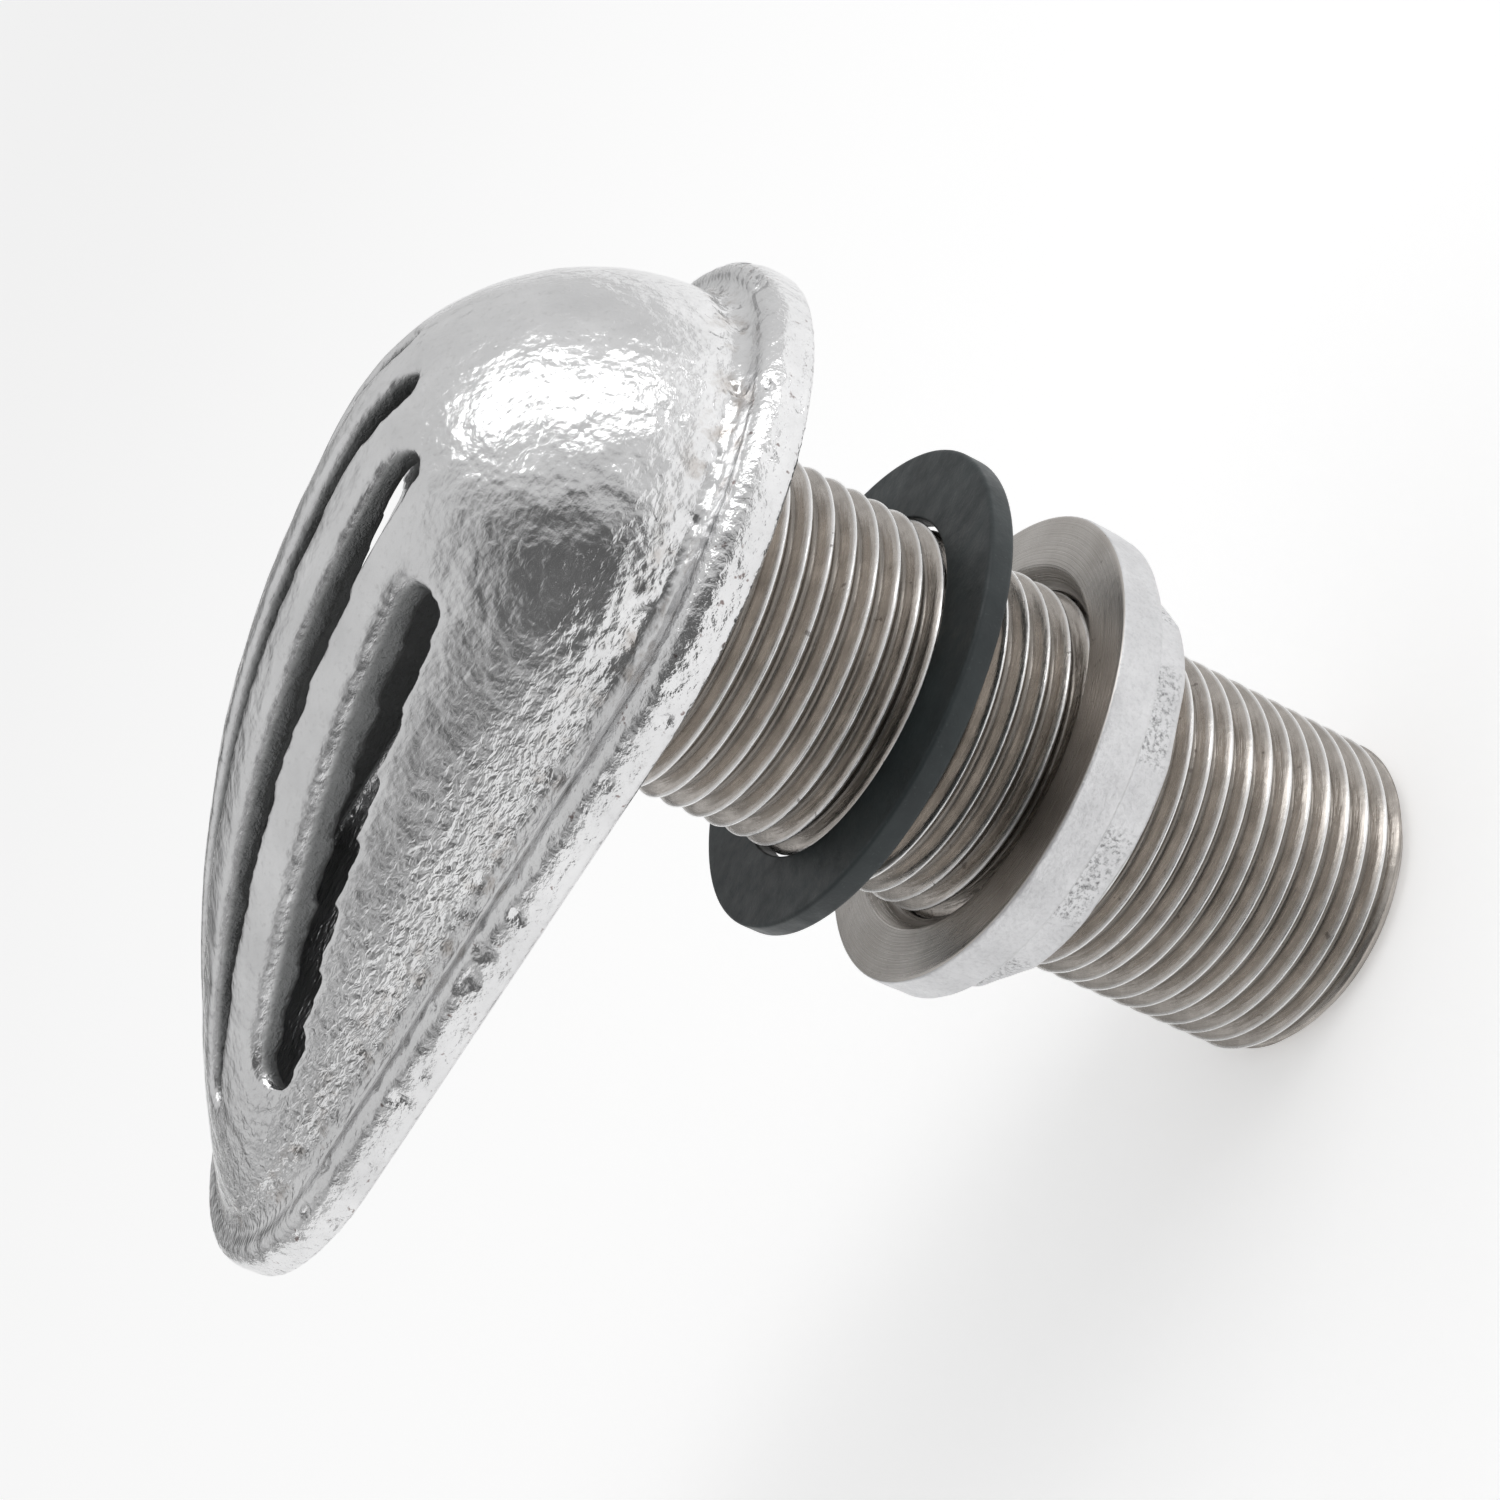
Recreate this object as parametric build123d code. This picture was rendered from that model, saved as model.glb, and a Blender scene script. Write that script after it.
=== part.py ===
from build123d import *
import os
from math import pi, radians, sin, sqrt, tan

# Oval intake strainer through-hull fitting, G1 thread. Lengths in millimetres.
# The origin is on the stem's axis, in the plane of the flange face that seats on the hull.
# +Z points out of the hull through the strainer dome, +X points along the dome to its tail.

# Thread of the stem: G1, 11 turns to the inch
thread_major_radius = 33.249 / 2
thread_pitch = 25.4 / 11
thread_depth = 0.640327 * thread_pitch
thread_flank_angle = 27.5
thread_crest_flat = 0.36
first_crest_z = -1.73
stem_length = 76.3
stem_end_chamfer = 1.46
waterway_radius = 12.7

# Flange: a straight-sided oval, its two end arcs of the same radius
flange_radius = 29.4
blunt_centre_x = -1.2
tail_centre_x = 50.0
flange_thickness = 4.6
rim_rounding = 1.7
rim_lower_rounding = 0.5
seat_relief_radius = 17.4
seat_relief_depth = 0.8

# Dome on the flange
dome_inset = 4.2
lip_inset = 3.7
lip_height = 0.3
dome_height = 25.3
wall = 2.6
dome_root = 1.0
dome_tail_blunting = 1.2
chamber_tail_blunting = 8.0
seam_step = 0.03
barrel_steps = 5
tail_steps = 6

# Slots through the dome, in mirrored pairs that fan out towards the tail
slot_width = 3.2
slot_offsets = (4.1, 11.8, 18.4)
slot_fan_x = -270.0
slot_floor = 7.6
slot_head_centre_x = 11.5
slot_head_radius = 21.0
slot_tail_centre_x = 36.5
slot_tail_radius = 25.0
slot_tail_share = 0.9
above_everything = 45.0

# Loose parts, where they lie on the stem
washer_radius = 24.0
washer_bore_radius = 17.0
washer_thickness = 2.5
washer_top = -22.1
washer_edge_rounding = 0.35
nut_top = -36.6
nut_flange_radius = 23.85
nut_flange_thickness = 4.4
nut_head_radius = 20.9
nut_head_apothem = 20.35
nut_head_thickness = 5.0
nut_head_sides = 8
nut_head_turn = 7.0
nut_bore_clearance = 0.12
nut_recess_radius = 18.6
nut_recess_depth = 1.6
recess_floor_share = 0.35
nut_front_chamfer = 0.5
nut_rear_chamfer = 0.9


def oval(radius):
    """The plan outline of the flange, or of anything set in evenly from it."""
    ends = Pos(blunt_centre_x, 0) * Circle(radius) + Pos(tail_centre_x, 0) * Circle(radius)
    span = tail_centre_x - blunt_centre_x
    middle = Pos((tail_centre_x + blunt_centre_x) / 2, 0) * Rectangle(span, 2 * radius)
    return ends + middle


def flange():
    """The seat on the hull, with a rounded rim and a low lip at the dome's foot."""
    plate = extrude(oval(flange_radius), flange_thickness)
    top_rim = plate.faces().sort_by(Axis.Z)[-1].edges()
    plate = fillet(top_rim, rim_rounding)
    low_rim = plate.faces().sort_by(Axis.Z)[0].edges()
    plate = fillet(low_rim, rim_lower_rounding)
    lip = Pos(0, 0, flange_thickness) * extrude(oval(flange_radius - lip_inset), lip_height)
    return plate + lip


def dome_section(x, inset, root):
    """Half an ellipse across the dome at x, standing on a straight root."""
    foot = flange_radius - dome_inset
    tail_length = tail_centre_x + foot - blunt_centre_x
    half_width = foot
    if x > tail_centre_x:
        half_width = sqrt(foot ** 2 - (x - tail_centre_x) ** 2)
    height = dome_height * (1 - ((x - blunt_centre_x) / tail_length) ** 2)
    half_width = half_width - inset
    height = height - inset
    low = flange_thickness - root
    plane = Plane(origin=(x, 0, flange_thickness), x_dir=(0, 1, 0), z_dir=(1, 0, 0))
    arc = EllipticalCenterArc((0, 0), half_width, height, start_angle=0, arc_size=180)
    if root > 0:
        drop = low - flange_thickness
        rest = Polyline((-half_width, 0), (-half_width, drop), (half_width, drop), (half_width, 0))
    else:
        rest = Line((-half_width, 0), (half_width, 0))
    return plane * make_face(arc + rest)


def dome_solids(inset, root, last_x):
    """A quarter ball at the blunt end, a falling barrel behind it, then a rounded tail."""
    foot = flange_radius - dome_inset
    barrel_span = tail_centre_x - blunt_centre_x
    barrel_xs = [blunt_centre_x + barrel_span * i / barrel_steps for i in range(barrel_steps + 1)]
    tail_span = last_x - tail_centre_x
    tail_xs = [tail_centre_x + tail_span * sin(pi / 2 * i / tail_steps) for i in range(tail_steps + 1)]
    barrel = loft([dome_section(x, inset, root) for x in barrel_xs])
    tail = loft([dome_section(x, inset, root) for x in tail_xs])
    radius = foot - inset - seam_step
    top = (0, flange_thickness + radius)
    side = (radius, flange_thickness)
    shoulder = RadiusArc(side, top, -radius)
    if root > 0:
        low = flange_thickness - root
        rest = Polyline(top, (0, low), (radius, low), side)
    else:
        rest = Polyline(top, (0, flange_thickness), side)
    quarter = Plane.YZ * make_face(shoulder + rest)
    nose = revolve(quarter, Axis.Z, 180)
    return [Pos(blunt_centre_x, 0, 0) * nose, barrel, tail]


def slot_cut(offset):
    """One slot's prism: a long narrow run with round ends, leaning out towards the tail."""
    head_x = slot_head_centre_x - sqrt(slot_head_radius ** 2 - offset ** 2)
    lean = (slot_tail_centre_x + slot_tail_radius - slot_fan_x) / -slot_fan_x
    tail_offset = min(offset * lean, slot_tail_radius * slot_tail_share)
    tail_x = slot_tail_centre_x + sqrt(slot_tail_radius ** 2 - tail_offset ** 2)
    tail_offset = offset * (tail_x - slot_fan_x) / -slot_fan_x
    head_offset = offset * (head_x - slot_fan_x) / -slot_fan_x
    run = Line((head_x, head_offset), (tail_x, tail_offset))
    middle = run @ 0.5
    outline = Rectangle(run.length, slot_width) + Pos(-run.length / 2, 0) * Circle(slot_width / 2)
    outline += Pos(run.length / 2, 0) * Circle(slot_width / 2)
    placed = Pos(middle.X, middle.Y, slot_floor) * Rot(0, 0, (run % 0.5).get_angle(Vector(1, 0, 0))) * outline
    return extrude(placed, above_everything - slot_floor)


def strainer_head():
    """Flange and slotted hollow dome, open below into the stem's waterway."""
    foot = flange_radius - dome_inset
    outer_end = tail_centre_x + foot - dome_tail_blunting
    inner_end = tail_centre_x + foot - chamber_tail_blunting
    body = flange() + dome_solids(0, dome_root, outer_end)
    nose, barrel, tail = dome_solids(wall, 0, inner_end)
    body -= nose + barrel + tail
    body -= Cylinder(waterway_radius, 2 * slot_floor)
    body -= Cylinder(seat_relief_radius, 2 * seat_relief_depth)
    cuts = [slot_cut(offset) for offset in slot_offsets]
    return body - cuts - [mirror(cut, Plane.XZ) for cut in cuts]


def thread_profile():
    """Half section of the stem: a plain neck, a ring of crest to each pitch, then a chamfer."""
    flank = thread_depth * tan(radians(thread_flank_angle))
    half_crest = thread_crest_flat / 2
    root_radius = thread_major_radius - thread_depth
    end_radius = thread_major_radius - stem_end_chamfer
    points = [(waterway_radius, seat_relief_depth), (root_radius, seat_relief_depth)]
    z = first_crest_z
    while z - half_crest - flank - stem_end_chamfer > -stem_length:
        points.append((root_radius, z + half_crest + flank))
        points.append((thread_major_radius, z + half_crest))
        points.append((thread_major_radius, z - half_crest))
        points.append((root_radius, z - half_crest - flank))
        z -= thread_pitch
    # the last crest rises from its root only as far as the end chamfer
    slope = thread_depth / flank
    last_root_z = z + half_crest + flank
    cut_z = (root_radius - end_radius - stem_length + slope * last_root_z) / (1 + slope)
    points.append((root_radius, last_root_z))
    points.append((end_radius + stem_length + cut_z, cut_z))
    points.append((end_radius, -stem_length))
    points.append((waterway_radius, -stem_length))
    return points


def threaded_stem():
    """Hollow stem, its thread drawn as a ring of groove to each pitch."""
    outline = Polyline(*thread_profile(), close=True)
    section = Plane.XZ * make_face(outline)
    return revolve(section, Axis.Z)


def sealing_washer():
    """Flat rubber ring, loose on the stem."""
    ring = Circle(washer_radius) - Circle(washer_bore_radius)
    washer = Pos(0, 0, washer_top - washer_thickness) * extrude(ring, washer_thickness)
    rims = washer.edges().filter_by(GeomType.CIRCLE).group_by(SortBy.RADIUS)[-1]
    return fillet(rims, washer_edge_rounding)


def hull_nut():
    """Round flange with an eight-flat head behind it, recessed at its front."""
    collar = Pos(0, 0, nut_top - nut_flange_thickness) * extrude(
        Circle(nut_flange_radius), nut_flange_thickness)
    collar = chamfer(collar.faces().sort_by(Axis.Z)[-1].edges(), nut_front_chamfer)
    across_corners = nut_head_apothem / tan(radians(90 - 180 / nut_head_sides))
    corner_radius = sqrt(nut_head_apothem ** 2 + across_corners ** 2)
    rear = nut_top - nut_flange_thickness - nut_head_thickness
    turned = Pos(0, 0, rear) * extrude(Circle(nut_head_radius), nut_head_thickness)
    turned = chamfer(turned.faces().sort_by(Axis.Z)[0].edges(), nut_rear_chamfer)
    flats = RegularPolygon(corner_radius, nut_head_sides)
    turn = nut_head_turn - 180 / nut_head_sides
    flats = Pos(0, 0, rear) * Rot(0, 0, turn) * extrude(flats, nut_head_thickness)
    nut = collar + (turned & flats)
    bore_radius = thread_major_radius + nut_bore_clearance
    nut -= Pos(0, 0, nut_top - nut_flange_thickness) * Cylinder(bore_radius, 4 * nut_flange_thickness)
    recess = nut_recess_radius - bore_radius
    nut -= Pos(0, 0, nut_top - nut_recess_depth / 2) * Cone(
        bore_radius + recess * recess_floor_share, nut_recess_radius, nut_recess_depth)
    return nut


os.makedirs("parts", exist_ok=True)
export_step(strainer_head(), "parts/strainer_head.step")
export_step(threaded_stem(), "parts/threaded_stem.step")
export_step(sealing_washer(), "parts/sealing_washer.step")
export_step(hull_nut(), "parts/hull_nut.step")
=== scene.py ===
from math import atan2, cos, hypot, pi, sin, sqrt

import bmesh
import bpy
from mathutils import Matrix, Vector, noise


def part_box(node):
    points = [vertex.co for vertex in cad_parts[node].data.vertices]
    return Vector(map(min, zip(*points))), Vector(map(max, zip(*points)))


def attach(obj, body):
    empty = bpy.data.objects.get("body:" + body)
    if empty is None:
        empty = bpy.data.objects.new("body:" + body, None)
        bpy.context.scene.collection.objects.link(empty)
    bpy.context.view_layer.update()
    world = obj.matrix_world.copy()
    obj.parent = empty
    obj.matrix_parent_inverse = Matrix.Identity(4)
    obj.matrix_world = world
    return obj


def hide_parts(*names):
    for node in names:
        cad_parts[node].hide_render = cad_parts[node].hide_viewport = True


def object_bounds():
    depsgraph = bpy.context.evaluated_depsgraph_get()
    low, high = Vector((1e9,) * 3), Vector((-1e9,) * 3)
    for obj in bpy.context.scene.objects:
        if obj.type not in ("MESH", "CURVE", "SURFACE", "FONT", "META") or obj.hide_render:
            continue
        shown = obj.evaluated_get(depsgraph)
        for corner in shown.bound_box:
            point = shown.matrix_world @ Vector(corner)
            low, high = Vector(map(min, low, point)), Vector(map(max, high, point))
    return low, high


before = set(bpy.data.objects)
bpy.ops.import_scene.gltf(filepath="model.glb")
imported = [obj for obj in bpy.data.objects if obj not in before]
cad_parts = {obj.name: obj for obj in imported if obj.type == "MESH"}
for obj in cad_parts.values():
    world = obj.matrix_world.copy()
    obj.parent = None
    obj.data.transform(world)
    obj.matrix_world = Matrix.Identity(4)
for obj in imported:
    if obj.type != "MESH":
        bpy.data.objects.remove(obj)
cad_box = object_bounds()

MM = 0.001

# ---------------------------------------------------------------- sizes from the frame, in millimetres


def box_mm(node):
    """Lowest and highest corner of a CAD node, in millimetres."""
    low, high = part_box(node)
    return [v / MM for v in low], [v / MM for v in high]


HEAD_LOW, HEAD_HIGH = box_mm("strainer_head")
STEM_LOW, STEM_HIGH = box_mm("threaded_stem")
WASHER_LOW, WASHER_HIGH = box_mm("sealing_washer")
NUT_LOW, NUT_HIGH = box_mm("hull_nut")

RIM_RADIUS = (HEAD_HIGH[1] - HEAD_LOW[1]) / 2
BLUNT_X = HEAD_LOW[0] + RIM_RADIUS
TAIL_X = HEAD_HIGH[0] - RIM_RADIUS
LEDGE_Z = 4.6
DOME_INSET = 4.2
FOOT_RADIUS = RIM_RADIUS - DOME_INSET
DOME_HEIGHT = HEAD_HIGH[2] - LEDGE_Z
DOME_LENGTH = TAIL_X + FOOT_RADIUS - BLUNT_X
DOME_ROOT = 1.0
DOME_END_CUT = 0.4
WALL = 2.6
HOLLOW_END_CUT = 8.0
RELIEF_RADIUS = 17.4

SLOT_WIDTH = 3.2
SLOT_OFFSETS = (4.1, 11.8, 18.4)
SLOT_FAN_X = -270.0
SLOT_FLOOR = 7.6
SLOT_HEAD_X = 11.5
SLOT_HEAD_RADIUS = 21.0
SLOT_TAIL_X = 36.5
SLOT_TAIL_RADIUS = 25.0
SLOT_TAIL_SHARE = 0.9
ABOVE_EVERYTHING = 45.0

VOXEL = 0.44
EVEN_OUT_STEPS = 2
SLOT_EDGE_STEPS = 26

CREST_RADIUS = (STEM_HIGH[0] - STEM_LOW[0]) / 2
STEM_LENGTH = -STEM_LOW[2]
NECK_TOP = STEM_HIGH[2]
FIRST_CREST = -1.73
CREST_TURN = 114.0
PITCH = 25.4 / 11
THREAD_DEPTH = 0.64 * PITCH
STEM_CHAMFER = 1.46
BORE_RADIUS = 12.7

WASHER_RADIUS = (WASHER_HIGH[0] - WASHER_LOW[0]) / 2
WASHER_BORE = 17.0
NUT_RADIUS = (NUT_HIGH[0] - NUT_LOW[0]) / 2
NUT_FLANGE = 4.4
NUT_HEAD_RADIUS = 20.9
NUT_FLAT = 20.35
NUT_SIDES = 8
NUT_TURN = 7.0
NUT_RECESS = 18.6
NUT_RECESS_DEPTH = 1.6
NUT_BORE_CLEARANCE = 0.12


def add_object(name, mesh, body, node, material_list):
    """Puts a finished mesh in the scene as a piece that rides on a body and stands for a CAD node."""
    piece = bpy.data.objects.new(name, mesh)
    bpy.context.scene.collection.objects.link(piece)
    mesh.materials.clear()
    for material in material_list:
        mesh.materials.append(material)
    for polygon in mesh.polygons:
        polygon.use_smooth = True
        polygon.material_index = 0
    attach(piece, body)
    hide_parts(node)
    return piece


def set_attribute(mesh, name, values):
    """A number for each vertex, for a material to read."""
    layer = mesh.attributes.new(name, "FLOAT", "POINT")
    layer.data.foreach_set("value", values)


def smoothstep(low, high, value):
    """Rises smoothly from 0 at low to 1 at high. With high below low, it falls."""
    t = min(1.0, max(0.0, (value - low) / (high - low)))
    return t * t * (3 - 2 * t)


# ---------------------------------------------------------------- node helpers


class Nodes:
    """A material's node tree, with short calls for the few nodes used here."""

    def __init__(self, name):
        self.material = bpy.data.materials.new(name)
        self.material.use_nodes = True
        self.tree = self.material.node_tree
        self.shader = self.tree.nodes["Principled BSDF"]
        self.place = self.add("ShaderNodeTexCoord").outputs["Object"]

    def add(self, kind, **values):
        node = self.tree.nodes.new(kind)
        for key, value in values.items():
            setattr(node, key, value)
        return node

    def link(self, source, target):
        self.tree.links.new(source, target)

    def scaled(self, factors):
        node = self.add("ShaderNodeVectorMath", operation="MULTIPLY")
        self.link(self.place, node.inputs[0])
        node.inputs[1].default_value = factors
        return node.outputs[0]

    def noise(self, size_mm, detail=3.0, rough=0.5, source=None, distortion=0.0):
        node = self.add("ShaderNodeTexNoise")
        self.link(source or self.place, node.inputs["Vector"])
        node.inputs["Scale"].default_value = 1 / (size_mm * MM)
        node.inputs["Detail"].default_value = detail
        node.inputs["Roughness"].default_value = rough
        node.inputs["Distortion"].default_value = distortion
        return node.outputs["Fac"]

    def cells(self, size_mm):
        node = self.add("ShaderNodeTexVoronoi", feature="F1")
        self.link(self.place, node.inputs["Vector"])
        node.inputs["Scale"].default_value = 1 / (size_mm * MM)
        return node.outputs["Distance"]

    def attribute(self, name):
        return self.add("ShaderNodeAttribute", attribute_name=name).outputs["Fac"]

    def span(self, source, low, high, to_low=0.0, to_high=1.0):
        node = self.add("ShaderNodeMapRange", clamp=True)
        self.link(source, node.inputs["Value"])
        for key, value in (("From Min", low), ("From Max", high), ("To Min", to_low), ("To Max", to_high)):
            node.inputs[key].default_value = value
        return node.outputs["Result"]

    def math(self, operation, first, second):
        node = self.add("ShaderNodeMath", operation=operation)
        for slot_number, value in enumerate((first, second)):
            if isinstance(value, (int, float)):
                node.inputs[slot_number].default_value = value
            else:
                self.link(value, node.inputs[slot_number])
        return node.outputs[0]

    def mix(self, factor, first, second):
        node = self.add("ShaderNodeMix", data_type="RGBA")
        self.link(factor, node.inputs["Factor"])
        for key, value in (("A", first), ("B", second)):
            socket = [s for s in node.inputs if s.name == key and s.type == "RGBA"][0]
            if isinstance(value, tuple):
                socket.default_value = (*value, 1.0)
            else:
                self.link(value, socket)
        return [s for s in node.outputs if s.type == "RGBA"][0]

    def bump(self, height, distance_mm, strength=1.0, under=None):
        node = self.add("ShaderNodeBump")
        node.inputs["Strength"].default_value = strength
        node.inputs["Distance"].default_value = distance_mm * MM
        self.link(height, node.inputs["Height"])
        if under is not None:
            self.link(under, node.inputs["Normal"])
        return node.outputs["Normal"]

    def finish(self, color, roughness, normal, metallic=1.0):
        self.link(color, self.shader.inputs["Base Color"])
        self.link(roughness, self.shader.inputs["Roughness"])
        self.link(normal, self.shader.inputs["Normal"])
        self.shader.inputs["Metallic"].default_value = metallic
        return self.material


# ---------------------------------------------------------------- materials


def cast_steel():
    """Bright tumbled casting: orange-peel skin, sandy slot walls with painted shade, pits and grime by the
    foot and rim.
    """
    n = Nodes("cast_steel")
    inside = n.attribute("inside")
    rim = n.attribute("rim")
    foot = n.attribute("foot")
    flank = n.attribute("flank")
    tone = n.noise(9.0, 4.0, 0.6)
    color = n.mix(n.span(tone, 0.3, 0.7), (0.72, 0.72, 0.725), (0.86, 0.86, 0.865))
    grain = n.noise(0.55, 4.0, 0.7)
    color = n.mix(n.math("MULTIPLY", n.span(grain, 0.55, 0.8), 0.35), color, (0.45, 0.44, 0.43))
    stain = n.math("MULTIPLY", n.span(n.noise(3.2, 5.0, 0.65), 0.52, 0.72), foot)
    color = n.mix(n.math("MULTIPLY", stain, 0.75), color, (0.33, 0.27, 0.22))
    specks = n.math("MULTIPLY", n.span(n.noise(1.3, 3.0, 0.6), 0.66, 0.72), rim)
    color = n.mix(n.math("MULTIPLY", specks, 0.8), color, (0.16, 0.10, 0.09))
    # painted shade: the slot walls and the dome's inside are darkened, where shade falls in the recesses
    color = n.mix(n.math("MULTIPLY", inside, 0.85), color, (0.16, 0.165, 0.165))
    roughness = n.span(n.noise(1.8, 3.0, 0.6), 0.3, 0.7, 0.12, 0.24)
    roughness = n.math("ADD", roughness, n.math("MULTIPLY", inside, 0.25))
    peel = n.noise(2.1, 2.0, 0.5)
    normal = n.bump(peel, 0.30)
    wrinkle = n.noise(1.0, 2.5, 0.55, n.scaled((0.75, 1.0, 1.5)), 0.4)
    wrinkle = n.math("MULTIPLY", wrinkle, n.math("ADD", n.math("MULTIPLY", flank, 0.9), 0.25))
    normal = n.bump(wrinkle, 0.30, 1.0, normal)
    sand = n.math("MULTIPLY", n.noise(0.35, 3.0, 0.7), n.math("ADD", n.math("MULTIPLY", inside, 1.0), 0.16))
    normal = n.bump(sand, 0.14, 1.0, normal)
    rough_rim = n.math("MULTIPLY", n.noise(1.9, 4.0, 0.6), rim)
    normal = n.bump(rough_rim, 0.3, 1.0, normal)
    return n.finish(color, roughness, normal)


def turned_thread():
    """Machined thread: warm grey, tool lines round the stem, painted shade in the roots and a painted
    highlight along the crests.
    """
    n = Nodes("turned_thread")
    crest = n.attribute("crest")
    tone = n.noise(3.0, 4.0, 0.6)
    color = n.mix(n.span(tone, 0.3, 0.7), (0.40, 0.37, 0.34), (0.56, 0.52, 0.48))
    streak = n.noise(0.35, 3.0, 0.6, n.scaled((0.12, 0.12, 3.0)))
    color = n.mix(n.math("MULTIPLY", n.span(streak, 0.5, 0.75), 0.45), color, (0.34, 0.31, 0.28))
    # painted shade: the thread's roots are darkened where shade falls between the turns
    color = n.mix(n.span(crest, 0.0, 0.25, 0.75, 0.0), color, (0.16, 0.145, 0.13))
    # painted highlight: the crests are lightened to a near white line
    color = n.mix(n.span(crest, 0.82, 1.0, 0.0, 0.9), color, (0.93, 0.93, 0.93))
    specks = n.span(n.noise(1.1, 2.0, 0.5), 0.71, 0.75, 0.0, 0.6)
    color = n.mix(specks, color, (0.12, 0.10, 0.09))
    roughness = n.span(streak, 0.3, 0.7, 0.20, 0.34)
    normal = n.bump(streak, 0.03)
    normal = n.bump(n.noise(0.9, 2.0, 0.5), 0.03, 1.0, normal)
    return n.finish(color, roughness, normal)


def grainy_casting():
    """The nut's outside: pale, with a fine sandy grain that is deeper on its flats."""
    n = Nodes("grainy_casting")
    flat = n.attribute("flat")
    tone = n.noise(5.0, 4.0, 0.6)
    color = n.mix(n.span(tone, 0.3, 0.7), (0.66, 0.66, 0.67), (0.80, 0.80, 0.81))
    grain = n.noise(0.42, 4.0, 0.7)
    dark = n.math("MULTIPLY", n.span(grain, 0.48, 0.66), n.math("ADD", n.math("MULTIPLY", flat, 0.75), 0.12))
    color = n.mix(dark, color, (0.20, 0.20, 0.205))
    roughness = n.span(grain, 0.3, 0.7, 0.34, 0.5)
    normal = n.bump(grain, 0.10)
    pits = n.span(n.cells(0.8), 0.0, 0.45)
    pits = n.math("MULTIPLY", pits, n.math("ADD", n.math("MULTIPLY", flat, 0.8), 0.2))
    normal = n.bump(pits, 0.10, 1.0, normal)
    return n.finish(color, roughness, normal)


def turned_face():
    """The nut's front: turned flat, brown-grey, with fine rings and a few scuffs."""
    n = Nodes("turned_face")
    ring = n.attribute("ring")
    rings = n.add("ShaderNodeTexNoise", noise_dimensions="1D")
    n.link(ring, rings.inputs["W"])
    rings.inputs["Scale"].default_value = 9.0
    rings.inputs["Detail"].default_value = 4.0
    lines = rings.outputs["Fac"]
    tone = n.noise(6.0, 4.0, 0.6)
    color = n.mix(n.span(tone, 0.3, 0.7), (0.50, 0.47, 0.44), (0.64, 0.61, 0.58))
    color = n.mix(n.span(lines, 0.5, 0.8, 0.0, 0.35), color, (0.36, 0.33, 0.31))
    specks = n.span(n.noise(0.9, 3.0, 0.6), 0.68, 0.73, 0.0, 0.6)
    color = n.mix(specks, color, (0.2, 0.18, 0.17))
    roughness = n.span(lines, 0.3, 0.7, 0.24, 0.36)
    normal = n.bump(lines, 0.02)
    normal = n.bump(n.noise(1.4, 3.0, 0.6), 0.03, 1.0, normal)
    return n.finish(color, roughness, normal)


def black_rubber():
    """Moulded rubber: near black with a green cast, soft sheen, faint scuffs and dust."""
    n = Nodes("black_rubber")
    tone = n.noise(7.0, 4.0, 0.6)
    color = n.mix(n.span(tone, 0.3, 0.7), (0.010, 0.016, 0.018), (0.020, 0.030, 0.032))
    dust = n.span(n.noise(0.5, 3.0, 0.7), 0.62, 0.74, 0.0, 0.5)
    color = n.mix(dust, color, (0.07, 0.085, 0.085))
    roughness = n.span(n.noise(2.2, 4.0, 0.6), 0.3, 0.7, 0.38, 0.55)
    normal = n.bump(n.noise(0.4, 3.0, 0.6), 0.03)
    normal = n.bump(n.noise(6.0, 2.0, 0.5), 0.25, 1.0, normal)
    return n.finish(color, roughness, normal, 0.0)


# ---------------------------------------------------------------- strainer head


def outline_distance(x, y):
    """How far in from the flange's outer edge a point lies, in plan."""
    along = min(max(x, BLUNT_X), TAIL_X)
    return RIM_RADIUS - hypot(x - along, y)


def dome_half_axes(x):
    """Half width and height of the dome's half-elliptical section at x."""
    height = DOME_HEIGHT * (1 - ((x - BLUNT_X) / DOME_LENGTH) ** 2)
    if x < BLUNT_X:
        drop = max(0.0, FOOT_RADIUS ** 2 - (x - BLUNT_X) ** 2)
        return sqrt(drop), DOME_HEIGHT * sqrt(drop) / FOOT_RADIUS
    if x > TAIL_X:
        return sqrt(max(0.0, FOOT_RADIUS ** 2 - (x - TAIL_X) ** 2)), height
    return FOOT_RADIUS, height


def metre_mesh(bm, name):
    """Takes a bmesh drawn in millimetres to a mesh in metres, its faces turned outwards."""
    bmesh.ops.recalc_face_normals(bm, faces=bm.faces[:])
    bmesh.ops.scale(bm, vec=(MM, MM, MM), verts=bm.verts[:])
    mesh = bpy.data.meshes.new(name)
    bm.to_mesh(mesh)
    bm.free()
    return mesh


def evaluated_mesh(work):
    """A new mesh with the object's modifiers applied."""
    bpy.context.view_layer.update()
    depsgraph = bpy.context.evaluated_depsgraph_get()
    return bpy.data.meshes.new_from_object(work.evaluated_get(depsgraph))


def closed_shell(name, rings):
    """A closed mesh from rings of points. The first and last rings are capped."""
    bm = bmesh.new()
    grid = [[bm.verts.new(point) for point in ring] for ring in rings]
    for here, there in zip(grid, grid[1:]):
        count = len(here)
        for i in range(count):
            bm.faces.new((here[i], here[(i + 1) % count], there[(i + 1) % count], there[i]))
    bm.faces.new(list(reversed(grid[0])))
    bm.faces.new(grid[-1])
    bmesh.ops.recalc_face_normals(bm, faces=bm.faces[:])
    bmesh.ops.triangulate(bm, faces=bm.faces[:])
    mesh = bpy.data.meshes.new(name)
    bm.to_mesh(mesh)
    bm.free()
    work = bpy.data.objects.new(name, mesh)
    bpy.context.scene.collection.objects.link(work)
    return work


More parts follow.
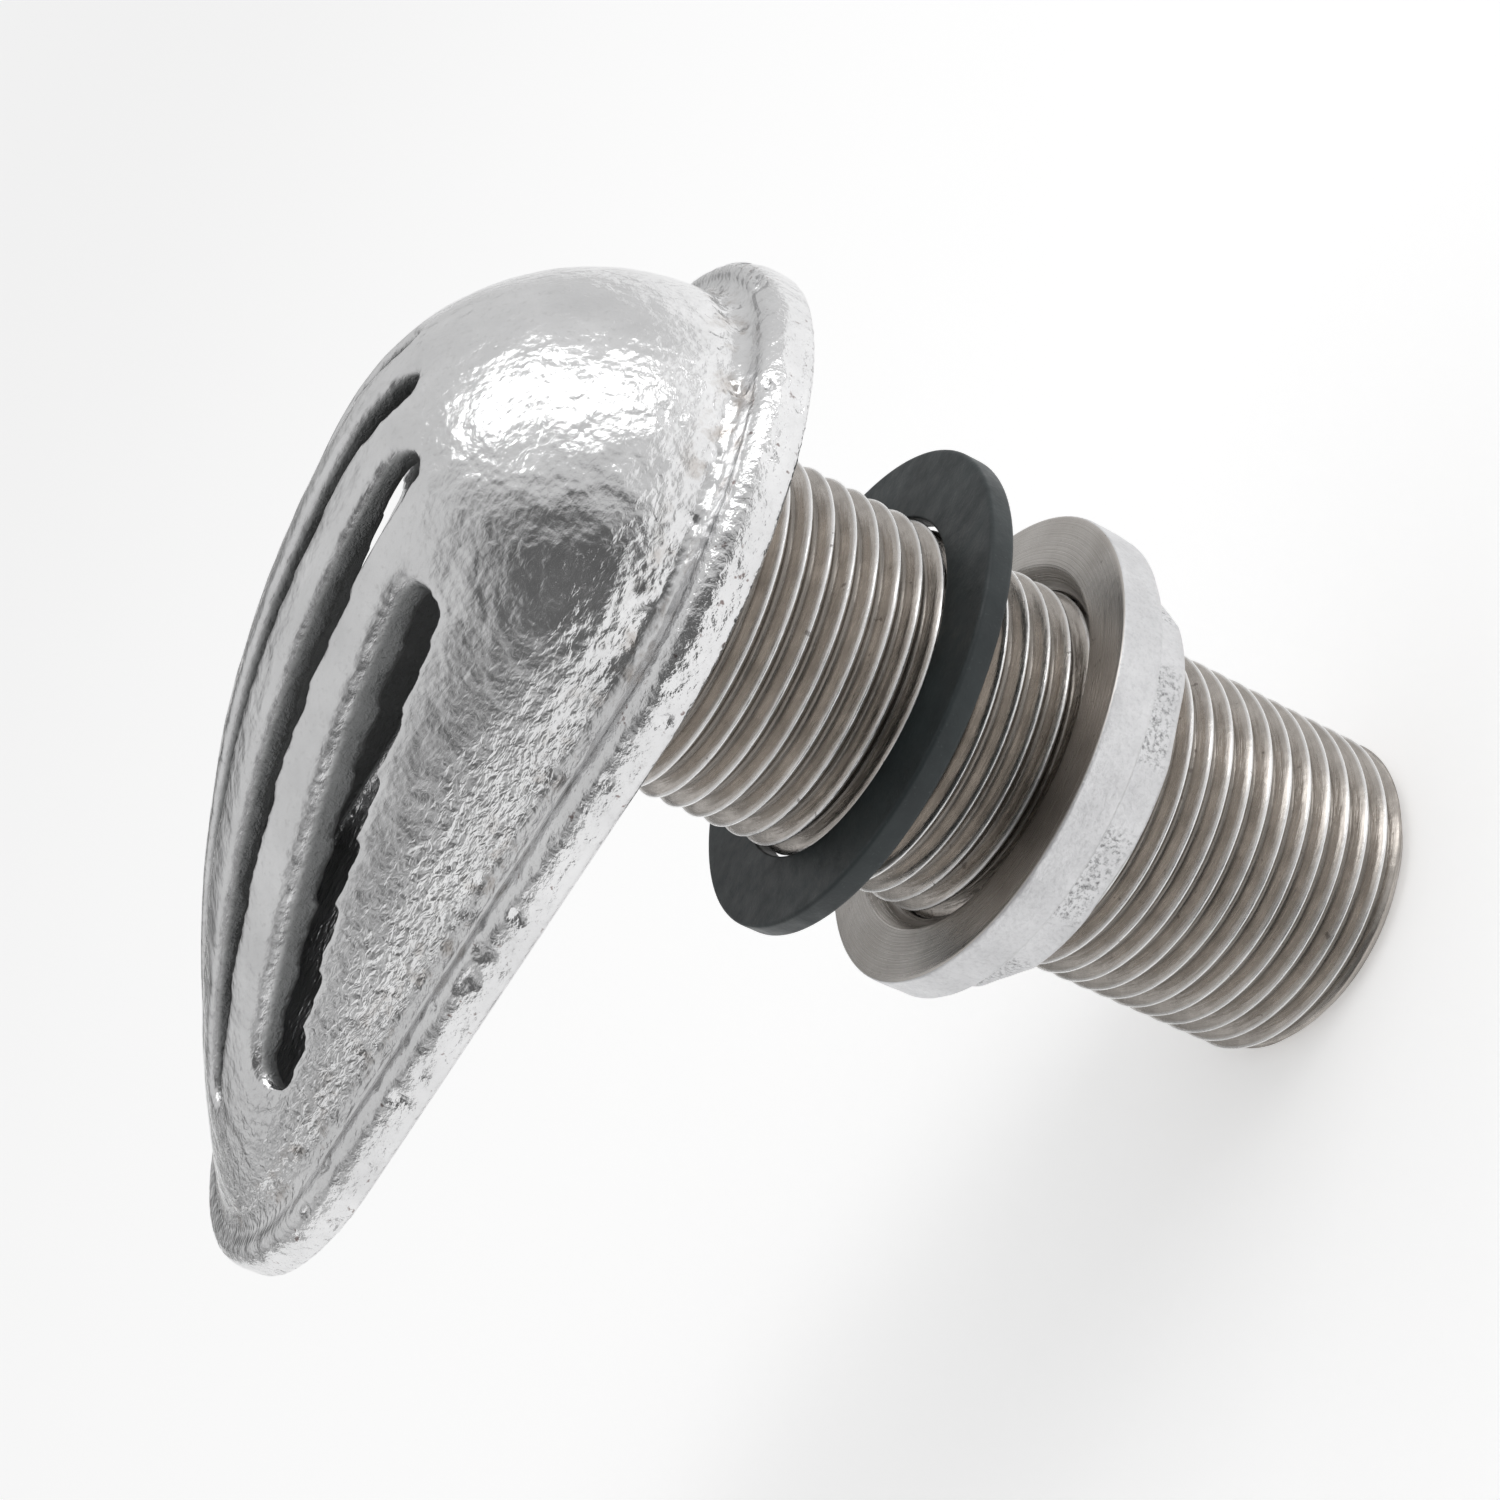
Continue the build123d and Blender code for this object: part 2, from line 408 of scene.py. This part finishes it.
def oval_ring(radius, z, arc_steps=72, side_steps=24):
    """The flange's plan outline at a radius, counter-clockwise."""
    points = []
    for i in range(arc_steps + 1):
        a = -pi / 2 + pi * i / arc_steps
        points.append((TAIL_X + radius * cos(a), radius * sin(a), z))
    for i in range(1, side_steps):
        points.append((TAIL_X + (BLUNT_X - TAIL_X) * i / side_steps, radius, z))
    for i in range(arc_steps + 1):
        a = pi / 2 + pi * i / arc_steps
        points.append((BLUNT_X + radius * cos(a), radius * sin(a), z))
    for i in range(1, side_steps):
        points.append((BLUNT_X + (TAIL_X - BLUNT_X) * i / side_steps, -radius, z))
    return points


def flange_shell():
    """The flange: a worn square-shouldered rim, a ledge, and the lip at the dome's foot."""
    edge = RIM_RADIUS
    # (radius, height) pairs from the hull side, round the rim, over the ledge to the lip's top
    profile = [(edge - 1.6, 0.0), (edge - 0.4, 0.0), (edge - 0.1, 0.15), (edge, 0.5)]
    profile += [(edge, 2.4), (edge - 0.12, 3.2), (edge - 0.45, 3.9), (edge - 0.95, 4.35)]
    profile += [(edge - 1.6, 4.58), (edge - 2.9, 4.50), (edge - 3.45, 4.62), (edge - 3.7, 4.95)]
    profile += [(edge - 4.0, 5.05), (edge - 4.6, 5.0)]
    return closed_shell("flange_work", [oval_ring(radius, z) for radius, z in profile])


def dome_shell(name, inset, base_z, tail_cut):
    """The dome, or its hollow set in by the wall's thickness: half ellipses along X."""
    nose_steps, barrel_steps, tail_steps = 40, 60, 36
    arch_steps, base_steps = 96, 24
    first = BLUNT_X - FOOT_RADIUS + inset
    last = TAIL_X + FOOT_RADIUS - tail_cut
    stations = [first + (BLUNT_X - first) * (1 - cos(pi / 2 * i / nose_steps)) for i in range(1, nose_steps)]
    stations += [BLUNT_X + (TAIL_X - BLUNT_X) * i / barrel_steps for i in range(barrel_steps + 1)]
    stations += [TAIL_X + (last - TAIL_X) * sin(pi / 2 * i / tail_steps) for i in range(1, tail_steps + 1)]
    angles = [pi * i / arch_steps for i in range(arch_steps + 1)]
    rings = []
    for x in stations:
        if x < BLUNT_X:
            half_width = sqrt(max(0.01, (FOOT_RADIUS - inset) ** 2 - (x - BLUNT_X) ** 2))
            height = half_width * (DOME_HEIGHT - inset) / (FOOT_RADIUS - inset)
        else:
            half_width, height = [half_axis - inset for half_axis in dome_half_axes(x)]
        ring = [(x, half_width * cos(a), LEDGE_Z + height * sin(a)) for a in angles]
        ring += [(x, -half_width + 2 * half_width * i / base_steps, base_z) for i in range(base_steps + 1)]
        rings.append(ring)
    return closed_shell(name, rings)


def slot_shell(offset):
    """One slot's cutter, a capsule in plan, fanned out towards the tail."""
    head_x = SLOT_HEAD_X - sqrt(SLOT_HEAD_RADIUS ** 2 - offset ** 2)
    lean = 1 + (SLOT_TAIL_X + SLOT_TAIL_RADIUS) / -SLOT_FAN_X
    tail_offset = min(abs(offset) * lean, SLOT_TAIL_RADIUS * SLOT_TAIL_SHARE)
    tail_x = SLOT_TAIL_X + sqrt(SLOT_TAIL_RADIUS ** 2 - tail_offset ** 2)
    head, tail = [Vector((x, offset * (x - SLOT_FAN_X) / -SLOT_FAN_X)) for x in (head_x, tail_x)]
    along = (tail - head).normalized()
    across = Vector((-along.y, along.x))
    end_steps = 16
    outline = []
    for sign, end in ((1, tail), (-1, head)):
        for i in range(end_steps + 1):
            a = -pi / 2 + pi * i / end_steps
            outline.append(end + (along * cos(a) + across * sin(a)) * sign * SLOT_WIDTH / 2)
    rings = [[(p.x, p.y, z) for p in outline] for z in (SLOT_FLOOR, ABOVE_EVERYTHING)]
    return closed_shell("slot_work", rings)


def waterway_shell():
    """The bore up into the dome, and the shallow relief round the stem on the hull side."""
    columns, below_seat, inside_dome = 128, -1.0, 7.0
    profile = [(RELIEF_RADIUS, below_seat), (RELIEF_RADIUS, NECK_TOP)]
    profile += [(BORE_RADIUS, NECK_TOP + 0.01), (BORE_RADIUS, inside_dome)]
    angles = [2 * pi * i / columns for i in range(columns)]
    rings = [[(radius * cos(a), radius * sin(a), z) for a in angles] for radius, z in profile]
    return closed_shell("bore_work", rings)


def join_or_cut(target, tool, operation):
    """One boolean step, applied at once; the tool is thrown away."""
    step = target.modifiers.new("step", "BOOLEAN")
    step.operation = operation
    step.object = tool
    step.solver = "MANIFOLD"
    mesh = evaluated_mesh(target)
    target.modifiers.clear()
    target.data = mesh
    bpy.data.objects.remove(tool)


def head_solid():
    """Flange and dome joined, hollowed, bored and slotted, in millimetres."""
    solid = flange_shell()
    join_or_cut(solid, dome_shell("dome_work", 0.0, LEDGE_Z - DOME_ROOT, DOME_END_CUT), "UNION")
    join_or_cut(solid, dome_shell("hollow_work", WALL, LEDGE_Z, HOLLOW_END_CUT), "DIFFERENCE")
    join_or_cut(solid, waterway_shell(), "DIFFERENCE")
    for offset in SLOT_OFFSETS:
        for side in (1, -1):
            join_or_cut(solid, slot_shell(side * offset), "DIFFERENCE")
    return solid


def rounded_head():
    """The head as an even mesh with its edges rounded, those of the dome's slots the most."""
    work = head_solid()
    work.data.transform(Matrix.Diagonal((MM, MM, MM, 1)))
    remesh = work.modifiers.new("voxels", "REMESH")
    remesh.mode = "VOXEL"
    remesh.voxel_size = VOXEL * MM
    mesh = evaluated_mesh(work)
    work.modifiers.clear()
    work.data = mesh
    above_ledge = work.vertex_groups.new(name="above_ledge")
    high = [v.index for v in mesh.vertices if v.co.z > (LEDGE_Z + 1.4) * MM]
    above_ledge.add(high, 1.0, "REPLACE")
    for steps, group in ((EVEN_OUT_STEPS, ""), (SLOT_EDGE_STEPS, "above_ledge")):
        smooth = work.modifiers.new("rounding", "SMOOTH")
        smooth.factor = 0.5
        smooth.iterations = steps
        smooth.vertex_group = group
    mesh = evaluated_mesh(work)
    bpy.data.objects.remove(work)
    return mesh


def head_zones(x, y, z):
    """How far a point of the head belongs to the slots' walls, the rim, the dome's foot and its low flank."""
    inside = 0.0
    half_width, height = dome_half_axes(x)
    if z > LEDGE_Z + 0.6 and half_width > 1.0 and height > 1.0:
        reach = hypot(y / half_width, (z - LEDGE_Z) / height)
        inside = smoothstep(0.35, 1.0, (1 - reach) * min(half_width, height))
    in_plan = outline_distance(x, y)
    rim = smoothstep(2.3, 1.7, in_plan) * smoothstep(-0.2, 0.4, z)
    foot = smoothstep(5.6, 4.6, in_plan) * smoothstep(3.0, 3.7, in_plan) * smoothstep(3.0, 4.4, z)
    foot *= smoothstep(9.0, 6.0, z)
    flank = smoothstep(16.0, 8.0, z) * smoothstep(-10.0, 12.0, x) if z > LEDGE_Z else 0.0
    return inside, rim, foot, flank


def cast_swell(point, inside, rim, foot):
    """How far the cast skin stands out at a point of the head, in millimetres, with pits below zero."""
    swell = noise.noise(point / 9.0) * 0.09 + (1 - inside) * noise.noise(point / 2.6) * 0.035
    swell += rim * (noise.noise(point / 5.0) * 0.20 + noise.noise(point / 1.9) * 0.10)
    swell += foot * noise.noise(point / 2.2) * 0.10
    pit = noise.noise(point / 1.5 + Vector((7, 3, 1)))
    swell -= max(rim, foot * 0.7) * 0.45 * smoothstep(0.42, 0.60, pit)
    return min(swell, 0.10 if rim < 0.1 else 0.0)


def strainer_mesh():
    """The head with cast, rounded edges and a lumpy, pitted skin, kept inside the CAD node's box."""
    flat_seat_top = 0.9
    mesh = rounded_head()
    zones = []
    # every normal is read before a vertex moves, since a move makes the mesh work them all out again
    normals = [vertex.normal.copy() for vertex in mesh.vertices]
    for vertex, normal in zip(mesh.vertices, normals):
        point = vertex.co / MM
        zone = head_zones(*point)
        if point.z >= flat_seat_top:
            point += normal * cast_swell(point, *zone[:3])
        for axis in range(3):
            point[axis] = min(max(point[axis], HEAD_LOW[axis]), HEAD_HIGH[axis])
        vertex.co = point * MM
        zones.append(zone)
    for name, values in zip(("inside", "rim", "foot", "flank"), zip(*zones)):
        set_attribute(mesh, name, values)
    return mesh


# ---------------------------------------------------------------- threaded stem


def thread_mesh():
    """A right-hand G1 thread cut on a hollow stem, closed at the flange and at its chamfered end."""
    columns = 180
    run_out_z, run_out_slope = -0.6, 1.9
    chamfer_shine, end_face_shine = 0.7, 0.6
    # (place along the pitch, height) pairs of one turn, from root over the crest to root
    crest_half, flank_width = 0.055, 0.30
    shape = [(-0.5, 0.0), (-0.5 + 0.08, 0.02), (-crest_half - flank_width, 0.10)]
    shape += [(-crest_half - flank_width / 2, 0.54), (-crest_half, 0.96), (0.0, 1.0), (crest_half, 0.96)]
    shape += [(crest_half + flank_width / 2, 0.54), (crest_half + flank_width, 0.10), (0.5 - 0.08, 0.02)]
    rows_per_turn = len(shape)
    turns = int(STEM_LENGTH / PITCH) + 3
    bm = bmesh.new()
    crest_layer = bm.verts.layers.float.new("crest")
    grid = []
    for column in range(columns):
        angle = 2 * pi * column / columns
        line = []
        for row in range(turns * rows_per_turn):
            turn, step = divmod(row, rows_per_turn)
            offset, lift = shape[step]
            z = FIRST_CREST + PITCH * (angle / (2 * pi) - CREST_TURN / 360 + 2 - turn - offset)
            radius = CREST_RADIUS - THREAD_DEPTH * (1 - lift)
            end_limit = CREST_RADIUS - STEM_CHAMFER + max(0.0, z + STEM_LENGTH)
            neck_limit = CREST_RADIUS - THREAD_DEPTH + max(0.0, run_out_z - z) * run_out_slope
            limit = min(end_limit, neck_limit)
            radius = min(radius, limit)
            vertex = bm.verts.new((radius * cos(angle), radius * sin(angle), z))
            # the crest value also drives the material's painted root shade and painted crest highlight; the
            # chamfer and the end faces get middle values that take neither
            vertex[crest_layer] = lift if limit > radius + 0.01 else chamfer_shine
            line.append(vertex)
        grid.append(line)
    last = turns * rows_per_turn - 1
    for column in range(columns):
        here = grid[column]
        wrap = column == columns - 1
        there = grid[0] if wrap else grid[column + 1]
        shift = -rows_per_turn if wrap else 0
        for row in range(last):
            if 0 <= row + shift and row + 1 + shift <= last:
                bm.faces.new((here[row], here[row + 1], there[row + 1 + shift], there[row + shift]))
    for z, side in ((NECK_TOP, 1), (-STEM_LENGTH, -1)):
        geometry = bm.verts[:] + bm.edges[:] + bm.faces[:]
        bmesh.ops.bisect_plane(
            bm, geom=geometry, plane_co=(0, 0, z), plane_no=(0, 0, side), clear_outer=True)
    bmesh.ops.remove_doubles(bm, verts=bm.verts[:], dist=0.0005)
    rings = []
    for z in (NECK_TOP, -STEM_LENGTH):
        edges = [e for e in bm.edges if e.is_boundary and all(abs(v.co.z - z) < 0.01 for v in e.verts)]
        made = bmesh.ops.extrude_edge_only(bm, edges=edges)
        new_verts = [g for g in made["geom"] if isinstance(g, bmesh.types.BMVert)]
        for vertex in new_verts:
            scale = BORE_RADIUS / hypot(vertex.co.x, vertex.co.y)
            vertex.co.x *= scale
            vertex.co.y *= scale
            vertex[crest_layer] = end_face_shine
        rings.append([g for g in made["geom"] if isinstance(g, bmesh.types.BMEdge)])
    bmesh.ops.bridge_loops(bm, edges=rings[0] + rings[1])
    return metre_mesh(bm, "thread")


# ---------------------------------------------------------------- lathe for the loose parts


def rounded(points, steps):
    """A closed (radius, z) outline from (radius, z, rounding) corners, each turned into a short curve."""
    result = []
    count = len(points)
    for index, (r, z, size) in enumerate(points):
        before = Vector(points[index - 1][:2])
        here = Vector((r, z))
        after = Vector(points[(index + 1) % count][:2])
        first = here + (before - here).normalized() * min(size, (before - here).length * 0.45)
        final = here + (after - here).normalized() * min(size, (after - here).length * 0.45)
        for step in range(steps + 1):
            t = step / steps
            result.append(first * (1 - t) ** 2 + here * 2 * t * (1 - t) + final * t * t)
    return result


def lathe(name, outline, columns, shape):
    """Turns a closed (radius, z) outline about Z. shape(r, z, angle) moves each point."""
    bm = bmesh.new()
    grid = []
    for column in range(columns):
        angle = 2 * pi * column / columns
        line = []
        for r, z in outline:
            radius, height = shape(r, z, angle)
            line.append(bm.verts.new((radius * cos(angle), radius * sin(angle), height)))
        grid.append(line)
    count = len(outline)
    for column in range(columns):
        here, there = grid[column], grid[(column + 1) % columns]
        for row in range(count):
            bm.faces.new((here[row], there[row], there[(row + 1) % count], here[(row + 1) % count]))
    return metre_mesh(bm, name)


def washer_mesh():
    """Rubber ring, moulded with soft edges and a little waviness."""
    top, low = WASHER_HIGH[2], WASHER_LOW[2]
    corners = [(WASHER_BORE, low, 0.3), (WASHER_RADIUS, low, 0.45)]
    corners += [(WASHER_RADIUS, top, 0.45), (WASHER_BORE, top, 0.3)]
    waves, wave_share, thinner_by = 5, 0.02, 0.03

    def shape(r, z, angle):
        middle = (top + low) / 2
        return r, middle + (z - middle) * (1 + wave_share * sin(waves * angle) - thinner_by)

    return lathe("washer", rounded(corners, 5), 160, shape)


def nut_mesh():
    """Flanged nut: turned front with a bevelled recess, cast flange, eight flats behind it."""
    front, rear = NUT_HIGH[2], NUT_LOW[2]
    step = front - NUT_FLANGE
    bore = CREST_RADIUS + NUT_BORE_CLEARANCE
    corners = [(bore, rear, 0.5), (NUT_HEAD_RADIUS, rear, 0.9), (NUT_HEAD_RADIUS, step, 0.5)]
    corners += [(NUT_RADIUS, step, 0.55), (NUT_RADIUS, front, 0.45), (NUT_RECESS, front, 0.25)]
    corners += [(bore + 0.6, front - NUT_RECESS_DEPTH, 0.3), (bore, front - 1.9, 0.2)]
    outline = rounded(corners, 4)
    longest_edge = 0.7
    profile = []
    for index, point in enumerate(outline):
        after = outline[(index + 1) % len(outline)]
        parts = max(1, int((after - point).length / longest_edge))
        for part in range(parts):
            profile.append(point.lerp(after, part / parts))
    wedge = 2 * pi / NUT_SIDES

    def off_flat(angle):
        """How far an angle lies from the middle of the nearest flat."""
        return (angle - NUT_TURN * pi / 180 + wedge / 2) % wedge - wedge / 2

    def shape(r, z, angle):
        radius = r
        if z < step - 0.05 and r > NUT_FLAT - 2.0:
            local = off_flat(angle)
            radius = min(r, (NUT_FLAT - max(0.0, NUT_HEAD_RADIUS - r) * 0.6) / cos(local))
        point = Vector((radius * cos(angle), radius * sin(angle), z))
        cast = smoothstep(NUT_RECESS, NUT_RADIUS - 0.6, r) if z < front - 0.4 else 0.0
        radius += cast * min(0.03, noise.noise(point / 3.0) * 0.12 + noise.noise(point / 0.9) * 0.03)
        return radius, z

    mesh = lathe("nut", profile, 320, shape)
    flat, ring = [], []
    for vertex in mesh.vertices:
        r, z = hypot(vertex.co.x, vertex.co.y) / MM, vertex.co.z / MM
        local = abs(off_flat(atan2(vertex.co.y, vertex.co.x)))
        on_flat = smoothstep(0.27, 0.20, local) if z < step - 0.3 and r > bore + 2.2 else 0.0
        flat.append(on_flat * smoothstep(rear + 0.5, rear + 1.1, z))
        ring.append(r)
    set_attribute(mesh, "flat", flat)
    set_attribute(mesh, "ring", ring)
    return mesh


def paint_nut(mesh):
    """The turned front and the bore take the second material."""
    for polygon in mesh.polygons:
        centre = polygon.center / MM
        r = hypot(centre.x, centre.y)
        turned = polygon.normal.z > 0.7 and centre.z > NUT_HIGH[2] - 1.0
        if turned or r < NUT_RECESS - 0.1:
            polygon.material_index = 1


# ---------------------------------------------------------------- pieces

steel = cast_steel()
thread_steel = turned_thread()
grain = grainy_casting()
face = turned_face()
rubber = black_rubber()

add_object("strainer_casting", strainer_mesh(), "fitting", "strainer_head", [steel])
add_object("cut_thread", thread_mesh(), "fitting", "threaded_stem", [thread_steel])
add_object("rubber_washer", washer_mesh(), "washer", "sealing_washer", [rubber])
nut = add_object("flanged_nut", nut_mesh(), "nut", "hull_nut", [grain, face])
paint_nut(nut.data)

# ---------------------------------------------------------------- floor, light and camera

CAMERA_PLACE = Vector((-0.0952, 0.2120, 0.0716))
CAMERA_AIM = Vector((0.4156, -0.8374, -0.3551))
CAMERA_UP = Vector((-0.7498, -0.5364, 0.3873))
LENS_MM = 65.04
OVERHEAD = (0.515, -0.105, 0.851)
LAMP_SIZE = (0.30, 0.55)
LAMP_DISTANCE = 0.9
LAMP_WATTS = 0.9
FLOOR_REACH = 30.0
FLOOR_GAP = 0.0005


def aim(obj, place, forward, up):
    """Turns an object so that its -Z looks along forward and its +Y is up."""
    back = -forward.normalized()
    right = up.cross(back).normalized()
    true_up = back.cross(right)
    turn = Matrix((right, true_up, back)).transposed().to_4x4()
    obj.matrix_world = Matrix.Translation(place) @ turn


def floor_piece():
    """A plain pale sheet under the stem's end."""
    material = bpy.data.materials.new("pale_floor")
    material.use_nodes = True
    shader = material.node_tree.nodes["Principled BSDF"]
    shader.inputs["Base Color"].default_value = (0.93, 0.93, 0.93, 1)
    shader.inputs["Roughness"].default_value = 0.9
    shader.inputs["Specular IOR Level"].default_value = 0.0
    shader.inputs["Emission Color"].default_value = (1, 1, 1, 1)
    shader.inputs["Emission Strength"].default_value = 0.35
    bm = bmesh.new()
    bmesh.ops.create_grid(bm, x_segments=8, y_segments=8, size=FLOOR_REACH)
    mesh = bpy.data.meshes.new("floor")
    bm.to_mesh(mesh)
    bm.free()
    mesh.materials.append(material)
    sheet = bpy.data.objects.new("floor", mesh)
    sheet.location = (0, 0, cad_box[0][2] - FLOOR_GAP)
    bpy.context.scene.collection.objects.link(sheet)


def lamp(name, towards):
    """A soft oblong lamp that shines on the fitting from a direction."""
    data = bpy.data.lights.new(name, "AREA")
    data.shape = "RECTANGLE"
    data.size, data.size_y = LAMP_SIZE
    data.energy = LAMP_WATTS
    obj = bpy.data.objects.new(name, data)
    bpy.context.scene.collection.objects.link(obj)
    direction = Vector(towards).normalized()
    aim(obj, direction * LAMP_DISTANCE, -direction, Vector((0.1, 0.2, 1)))


def surroundings():
    """A pale room: light along the camera's up and down, a dark band between, and a glow overhead."""
    world = bpy.data.worlds.new("room")
    bpy.context.scene.world = world
    world.use_nodes = True
    tree = world.node_tree
    place = tree.nodes.new("ShaderNodeTexCoord")

    def along(direction, from_low, from_high, to_high):
        """0 to to_high, by how far a ray points along a direction."""
        dot = tree.nodes.new("ShaderNodeVectorMath")
        dot.operation = "DOT_PRODUCT"
        dot.inputs[1].default_value = direction
        tree.links.new(place.outputs["Generated"], dot.inputs[0])
        spread = tree.nodes.new("ShaderNodeMapRange")
        spread.inputs["From Min"].default_value = from_low
        spread.inputs["From Max"].default_value = from_high
        spread.inputs["To Max"].default_value = to_high
        tree.links.new(dot.outputs["Value"], spread.inputs["Value"])
        return spread.outputs["Result"]

    ramp = tree.nodes.new("ShaderNodeValToRGB")
    stops = [(0.0, 0.62), (0.12, 0.50), (0.21, 0.14), (0.52, 0.12), (0.60, 0.34), (0.70, 0.62), (1.0, 0.72)]
    elements = ramp.color_ramp.elements
    while len(elements) < len(stops):
        elements.new(0.5)
    for element, (position, level) in zip(elements, stops):
        element.position = position
        element.color = (level, level, level, 1)
    tree.links.new(along(CAMERA_UP, -1.0, 1.0, 1.0), ramp.inputs["Fac"])
    brighter = tree.nodes.new("ShaderNodeMix")
    brighter.data_type = "RGBA"
    brighter.blend_type = "LIGHTEN"
    brighter.inputs["Factor"].default_value = 1.0
    first, second = [socket for socket in brighter.inputs if socket.type == "RGBA"]
    tree.links.new(ramp.outputs["Color"], first)
    tree.links.new(along(OVERHEAD, 0.35, 0.90, 0.66), second)
    mixed = [socket for socket in brighter.outputs if socket.type == "RGBA"][0]
    background = tree.nodes["Background"]
    tree.links.new(mixed, background.inputs["Color"])
    background.inputs["Strength"].default_value = 1.0


floor_piece()
surroundings()
lamp("key_left", (-0.55, -0.15, 0.80))
lamp("key_right", (-0.85, -0.05, 0.42))

camera_data = bpy.data.cameras.new("camera")
camera_data.lens = LENS_MM
camera_data.sensor_width = 36
camera_data.clip_start = 0.01
camera_data.dof.use_dof = False
camera = bpy.data.objects.new("camera", camera_data)
bpy.context.scene.collection.objects.link(camera)
aim(camera, CAMERA_PLACE, CAMERA_AIM, CAMERA_UP)
bpy.context.scene.camera = camera
bpy.context.scene.view_settings.view_transform = "Standard"
